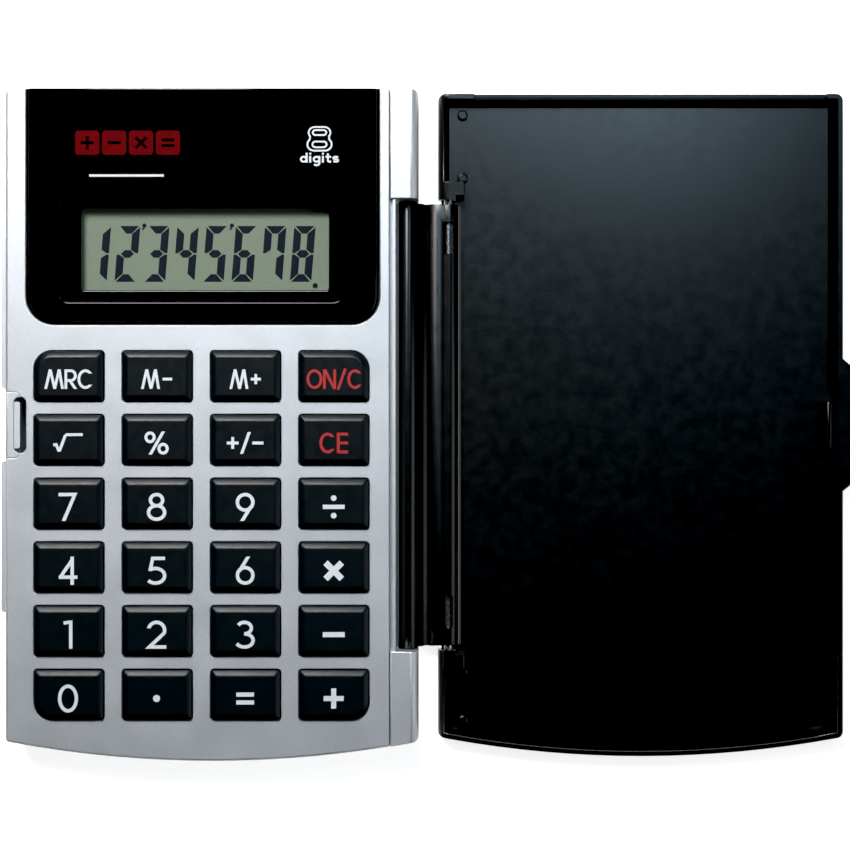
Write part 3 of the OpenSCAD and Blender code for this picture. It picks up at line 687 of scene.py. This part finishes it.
# Legends: characters as (glyph, width), the gap between them, their height and their stroke
DIGIT_H = 4.75
DIGIT_S = 0.58
WORD_H = 3.3
WORD_S = 0.46
LEGENDS = {
    "key_mrc": ([("M", 3.3), ("R", 2.1), ("C", 2.4)], 0.10, WORD_H, WORD_S),
    "key_m_minus": ([("M", 3.2), ("-", 1.6)], 0.45, WORD_H, WORD_S),
    "key_m_plus": ([("M", 3.2), ("+", 1.7)], 0.40, WORD_H, WORD_S),
    "key_on_c": ([("O", 2.7), ("N", 2.2), ("/", 1.7), ("C", 2.3)], 0.10, WORD_H, WORD_S),
    "key_sqrt": ([("root", 5.0)], 0, 3.3, 0.48),
    "key_percent": ([("%", 4.1)], 0, 3.9, 0.5),
    "key_sign": ([("+", 2.0), ("/", 1.8), ("-", 1.9)], 0.25, 3.4, 0.5),
    "key_ce": ([("C", 2.5), ("E", 1.9)], 0.45, 3.5, 0.5),
    "key_7": ([("7", 3.2)], 0, DIGIT_H, DIGIT_S),
    "key_8": ([("8", 3.3)], 0, DIGIT_H, DIGIT_S),
    "key_9": ([("9", 3.2)], 0, DIGIT_H, DIGIT_S),
    "key_divide": ([("-", 3.7)], 0, DIGIT_H, 0.72),
    "key_4": ([("4", 3.2)], 0, DIGIT_H, DIGIT_S),
    "key_5": ([("5", 3.3)], 0, DIGIT_H, DIGIT_S),
    "key_6": ([("6", 3.2)], 0, DIGIT_H, DIGIT_S),
    "key_multiply": ([("x", 3.5)], 0, 3.5, 1.05),
    "key_1": ([("1", 1.5)], 0, DIGIT_H, DIGIT_S),
    "key_2": ([("2", 3.3)], 0, DIGIT_H, DIGIT_S),
    "key_3": ([("3", 3.3)], 0, DIGIT_H, DIGIT_S),
    "key_minus": ([("-", 3.7)], 0, DIGIT_H, 0.85),
    "key_0": ([("0", 3.4)], 0, DIGIT_H, DIGIT_S),
    "key_equals": ([("=", 3.0)], 0, DIGIT_H, 0.7),
    "key_plus": ([("+", 3.4)], 0, DIGIT_H, 0.85),
}
LEGEND_DROP = 0.5  # how far the legends sit below the middle of their key
POINT_R = 0.6
DIVIDE_DOT_Y = 1.48
DIVIDE_DOT_R = 0.48
STROKE_STEP = 0.001  # how much lower each stroke of a character ends
RED_LEGENDS = ("key_on_c", "key_ce")


def draw_strokes(bm, strokes, x, y, width, z0, z1):
    """Each stroke ends a little lower than the one before, so that crossings stay clean."""
    for n, (points, closed) in enumerate(strokes):
        moved = [(px + x, py + y) for px, py in points]
        stroke(bm, moved, width, z0, z1 - STROKE_STEP * n, closed)


def write(bm, characters, gap, height, width, centre, z0, z1):
    total = sum(w for _, w in characters) + gap * (len(characters) - 1)
    x = centre[0] - total / 2
    y = centre[1] - height / 2
    for glyph, w in characters:
        draw_strokes(bm, GLYPHS[glyph](w, height, width), x, y, width, z0, z1)
        x += w + gap


def build_legend(name, materials):
    x, y = middle(name)
    centre = (x, y - LEGEND_DROP)
    z1 = box_mm(name)[1].z
    z0 = z1 - 2 * PRINT_T
    bm = bmesh.new()
    if name == "key_point":
        prism(bm, ring(*centre, POINT_R, POINT_R), z0, z1)
    else:
        characters, gap, height, width = LEGENDS[name]
        write(bm, characters, gap, height, width, centre, z0, z1)
    if name == "key_divide":
        for side in (-1, 1):
            dot = ring(centre[0], centre[1] + side * DIVIDE_DOT_Y, DIVIDE_DOT_R, DIVIDE_DOT_R)
            prism(bm, dot, z0, z1)
    ink = "red_ink" if name in RED_LEGENDS else "white_ink"
    piece = to_object("legend_" + name, bm, materials[ink])
    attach(piece, name)


def build_keys(materials):
    for row, names in enumerate(KEY_ROWS):
        for col, name in enumerate(names):
            build_key(name, row, col, materials["key_black"])
            build_legend(name, materials)


# ---------- display ----------

SEGMENTS = {
    "1": "bc", "2": "abged", "3": "abgcd", "4": "fgbc", "5": "afgcd", "6": "afgedc", "7": "fabc",
    "8": "abcdefg",
}
LCD_W = 3.65
LCD_H = 9.5
LCD_T = 1.29
LCD_GAP = 0.13
LCD_SLANT = 0.08
LCD_PITCH = 4.98
LCD_X = -21.8  # left side of the first digit's foot
LCD_Y = 24.4
LCD_EASE = 0.05  # of the face's upper edges
LCD_CORNER = 0.3
LCD_COMMAS = [(-11.73, 33.98), (3.18, 33.98)]
LCD_COMMA_R = 0.36
LCD_POINT = (17.38, 23.73)
LCD_POINT_R = 0.46


def segment_outlines():
    w, h, t, g = LCD_W, LCD_H, LCD_T, LCD_GAP
    m = h / 2
    top = [(1.6 * g, h), (w - 1.6 * g, h), (w - t - 0.6 * g, h - t), (t + 0.6 * g, h - t)]
    right = [(w, h - 1.6 * g), (w, m + 1.2 * g), (w - 0.3 * t, m + 0.7 * g), (w - t, m + t / 2 + 0.5 * g),
             (w - t, h - t - 0.6 * g)]
    bar = [(t * 0.45 + g, m), (t + 0.6 * g, m + t / 2), (w - t - 0.6 * g, m + t / 2),
           (w - t * 0.45 - g, m), (w - t - 0.6 * g, m - t / 2), (t + 0.6 * g, m - t / 2)]
    flip_x = lambda points: [(w - x, y) for x, y in points]
    flip_y = lambda points: [(x, h - y) for x, y in points]
    return {
        "a": top, "b": right, "c": flip_y(right), "d": flip_y(top),
        "e": flip_x(flip_y(right)), "f": flip_x(right), "g": bar,
    }


def build_lcd(materials):
    """The LCD's face, with eased edges, and its segments."""
    low, high = box_mm("lcd_front_polariser")

    def outline(inset):
        return round_rect(low.x + inset, low.y + inset, high.x - inset, high.y - inset,
                          [LCD_CORNER] * 4, 3)

    bm = bmesh.new()
    loft(bm, [(outline(0), low.z), (outline(0), high.z - LCD_EASE), (outline(LCD_EASE), high.z)])
    face = to_object("lcd_face", bm, materials["polariser"])
    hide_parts("lcd_front_polariser")
    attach(face, "calculator")
    build_digits(materials["segment_ink"], high.z)


def build_digits(material, z):
    """The dark liquid crystal segments on the face at height z."""
    z0, z1 = z - PRINT_T, z + PRINT_T
    outlines = segment_outlines()
    bm = bmesh.new()
    for n, digit in enumerate("12345678"):
        for segment in SEGMENTS[digit]:
            points = [(LCD_X + n * LCD_PITCH + x + y * LCD_SLANT, LCD_Y + y)
                      for x, y in outlines[segment]]
            prism(bm, points, z0, z1)
    for x, y in LCD_COMMAS:
        prism(bm, ring(x, y, LCD_COMMA_R, LCD_COMMA_R), z0, z1)
        stroke(bm, [(x + 0.1, y - 0.08), (x - 0.28, y - 0.73)], 0.3, z0, z1 - STROKE_STEP)
    prism(bm, ring(*LCD_POINT, LCD_POINT_R, LCD_POINT_R), z0, z1)
    piece = to_object("lcd_segments", bm, material)
    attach(piece, "calculator")


def outlined_eight(cx, y0, w, h):
    """The contour of a fat figure eight, and its two counters."""
    r_top, r_low = h * 0.235, h * 0.265
    y_top, y_low = y0 + h - r_top, y0 + r_low
    contour = arc(cx + w * 0.20, y_top, w * 0.25, r_top, -40, 90, 10)
    contour += arc(cx - w * 0.20, y_top, w * 0.25, r_top, 90, 220, 10)
    contour += arc(cx - w * 0.22, y_low, w * 0.28, r_low, 130, 270, 10)
    contour += arc(cx + w * 0.22, y_low, w * 0.28, r_low, -90, 50, 10)
    counters = []
    for y, rx, ry in ((y_top, 0.45, 0.42), (y_low, 0.5, 0.48)):
        side = arc(cx + w * 0.17, y, rx, ry, -90, 90, 8)
        counters.append((side + arc(cx - w * 0.17, y, rx, ry, 90, 270, 8), True))
    return [(contour, True)] + counters


def build_panel_print(materials):
    """Generic marks on the display panel: four operator tiles, a rule and the digit count."""
    top = box_mm("display_panel")[1].z
    z0, z1 = top - PRINT_T, top + PRINT_T
    tiles = bmesh.new()
    signs = bmesh.new()
    tile, tile_corner, pitch, x0, y0 = 4.1, 0.6, 4.55, -23.1, 45.7
    sign_size, sign_stroke, sign_rise = 2.2, 0.5, 0.012
    for n, sign in enumerate(("+", "-", "x", "=")):
        x = x0 + n * pitch
        outline = round_rect(x, y0, x + tile, y0 + tile, [tile_corner] * 4)
        prism(tiles, outline, z0, z1 - sign_rise)
        write(signs, [(sign, sign_size)], 0, sign_size, sign_stroke, (x + tile / 2, y0 + tile / 2), z0, z1)
    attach(to_object("mark_tiles", tiles, materials["dark_red_ink"]), "calculator")
    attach(to_object("mark_signs", signs, materials["gloss_black"]), "calculator")
    lines = bmesh.new()
    stroke(lines, [(-20.7, 42.2), (-8.1, 42.2)], 0.4, z0, z1)
    count_x, eight_y, word_y = 18.24, 46.4, 44.95
    draw_strokes(lines, outlined_eight(count_x, eight_y, 4.1, 4.0), 0, 0, 0.3, z0, z1)
    word = [("d", 1.3), ("i", 0.42), ("g", 1.3), ("i", 0.42), ("t", 0.95), ("s", 1.15)]
    write(lines, word, 0.22, 1.15, 0.34, (count_x, word_y), z0, z1)
    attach(to_object("panel_print", lines, materials["white_ink"]), "calculator")


# ---------- keypad membrane ----------

def build_membrane(material):
    """The silicone sheet, with one dome a key."""
    low, high = box_mm("keypad_membrane")
    sheet_t, dome_r, top_r, wall = 0.35, 3.2, 2.1, 0.3
    post_hole_r = 1.1
    sheet_z = low.z + sheet_t
    centres = {name: middle(name) for names in KEY_ROWS for name in names}
    columns = sorted({round(c[0], 3) for c in centres.values()})
    rows = sorted({round(c[1], 3) for c in centres.values()})
    between_keys = [((columns[c] + columns[c + 1]) / 2, (rows[r] + rows[r + 1]) / 2)
                    for c in (0, 2) for r in (0, 2, 4)]
    holes = [ring(*c, dome_r - 0.5, dome_r - 0.5) for c in centres.values()]
    holes += [ring(*c, post_hole_r, post_hole_r) for c in between_keys]
    bm = bmesh.new()
    plate(bm, round_rect(low.x, low.y, high.x, high.y, [2, 2, 1, 1]), holes, low.z, sheet_z)
    sheet = to_object("membrane_sheet", bm, material)
    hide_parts("keypad_membrane")
    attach(sheet, "calculator")
    profile = [(dome_r, sheet_z), (top_r, high.z), (0, high.z), (0, high.z - wall),
               (top_r - wall, high.z - wall), (dome_r - wall, sheet_z)]
    for name, centre in centres.items():
        bm = bmesh.new()
        lathe(bm, profile, *centre)
        dome = to_object("dome_" + name, bm, material)
        smooth(dome)
        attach(dome, "calculator")
        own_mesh(dome)


# ---------- set ----------

def add_area(name, location, target, size, watts, colour=(1, 1, 1), spread=180):
    """A square light at location that shines at target, within a cone of the given angle."""
    data = bpy.data.lights.new(name, "AREA")
    data.size = size
    data.energy = watts
    data.color = colour
    data.spread = math.radians(spread)
    light = bpy.data.objects.new(name, data)
    light.location = location
    light.rotation_euler = (Vector(target) - Vector(location)).to_track_quat("-Z", "Y").to_euler()
    COLLECTION.objects.link(light)


def build_stage(materials):
    half, corner, floor_t, drop = 900, 200, 2, 0.05
    bm = bmesh.new()
    prism(bm, round_rect(-half, -half, half, half, [corner] * 4), -drop - floor_t, -drop)
    floor = to_object("floor", bm, materials["floor"])
    world = bpy.data.worlds.new("studio")
    world.use_nodes = True
    background = world.node_tree.nodes["Background"]
    background.inputs["Color"].default_value = (0.9, 0.95, 1, 1)
    background.inputs["Strength"].default_value = 0.02
    bpy.context.scene.world = world
    view = bpy.context.scene.view_settings
    view.view_transform = "Standard"
    view.use_curve_mapping = True
    view.curve_mapping.black_level = (BLACK_LEVEL, BLACK_LEVEL, BLACK_LEVEL)
    view.curve_mapping.update()
    add_area("top_light", (0.125, 0.215, 0.60), (0.06, 0.06, 0), 0.16, 0.50, (0.60, 0.84, 1.0))
    add_area("side_light", (-0.09, 0.29, 0.42), (-0.005, 0.035, 0.01), 0.20, 0.225, spread=40)
    add_area("fill_light", (0.55, -0.1, 0.35), (0.03, 0, 0), 0.35, 0.5)


def build_camera():
    """Looks straight down at the open calculator."""
    middle_x, distance, height = 0.03608, 0.350, 0.360
    view_width = 0.14398  # what the camera sees at the case's top, one distance away
    data = bpy.data.cameras.new("camera")
    data.lens = data.sensor_width * distance / view_width
    camera = bpy.data.objects.new("camera", data)
    COLLECTION.objects.link(camera)
    camera.location = (middle_x, 0, height)
    bpy.context.scene.camera = camera


MATERIALS = make_materials()
for node_object in NODES.values():
    for slot in node_object.material_slots:
        slot.material = MATERIALS[slot.material.name]
build_shells(MATERIALS)
build_witness_line(MATERIALS["black_plastic"])
build_keys(MATERIALS)
build_lcd(MATERIALS)
build_panel_print(MATERIALS)
build_membrane(MATERIALS["silicone"])
build_stage(MATERIALS)
build_camera()
